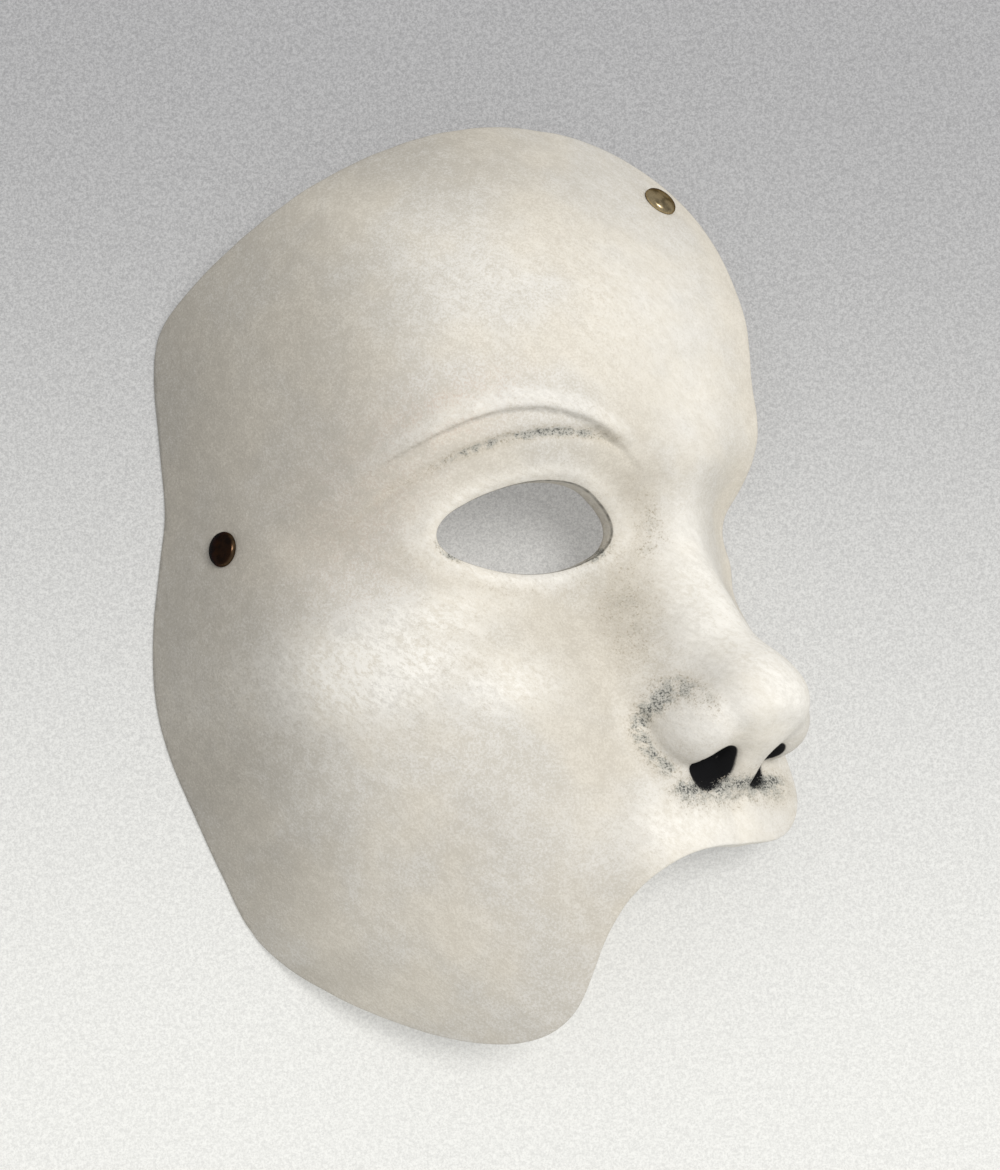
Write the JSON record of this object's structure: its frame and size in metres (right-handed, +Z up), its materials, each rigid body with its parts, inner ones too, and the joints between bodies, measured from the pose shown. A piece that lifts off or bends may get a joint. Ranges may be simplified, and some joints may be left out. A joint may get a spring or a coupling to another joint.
{
  "type": "theatre mask",
  "caption": "One-sided theatre mask of moulded leather painted chalk white, with an eye opening, a covered nose and brass strap rivets.",
  "frame": {"origin": "on the table under the middle of the mask's box, with the mask lying on its side rim and its far edge, face up", "axes": "+Z up out of the table, +Y from the jaw to the forehead, +X from the rim at the side of the head towards the free edge beside the nose"},
  "size_m": [0.1353, 0.1919, 0.0428],
  "materials": {
    "painted_leather": "matt chalk-white paint with a fine grain, and blue-black patina in the recesses",
    "antique_brass": "dark, glossy antique brass"
  },
  "bodies": {
    "root": {"mask_shell": "painted_leather", "temple_rivet": "antique_brass", "forehead_rivet": "antique_brass"}
  },
  "joints": []
}
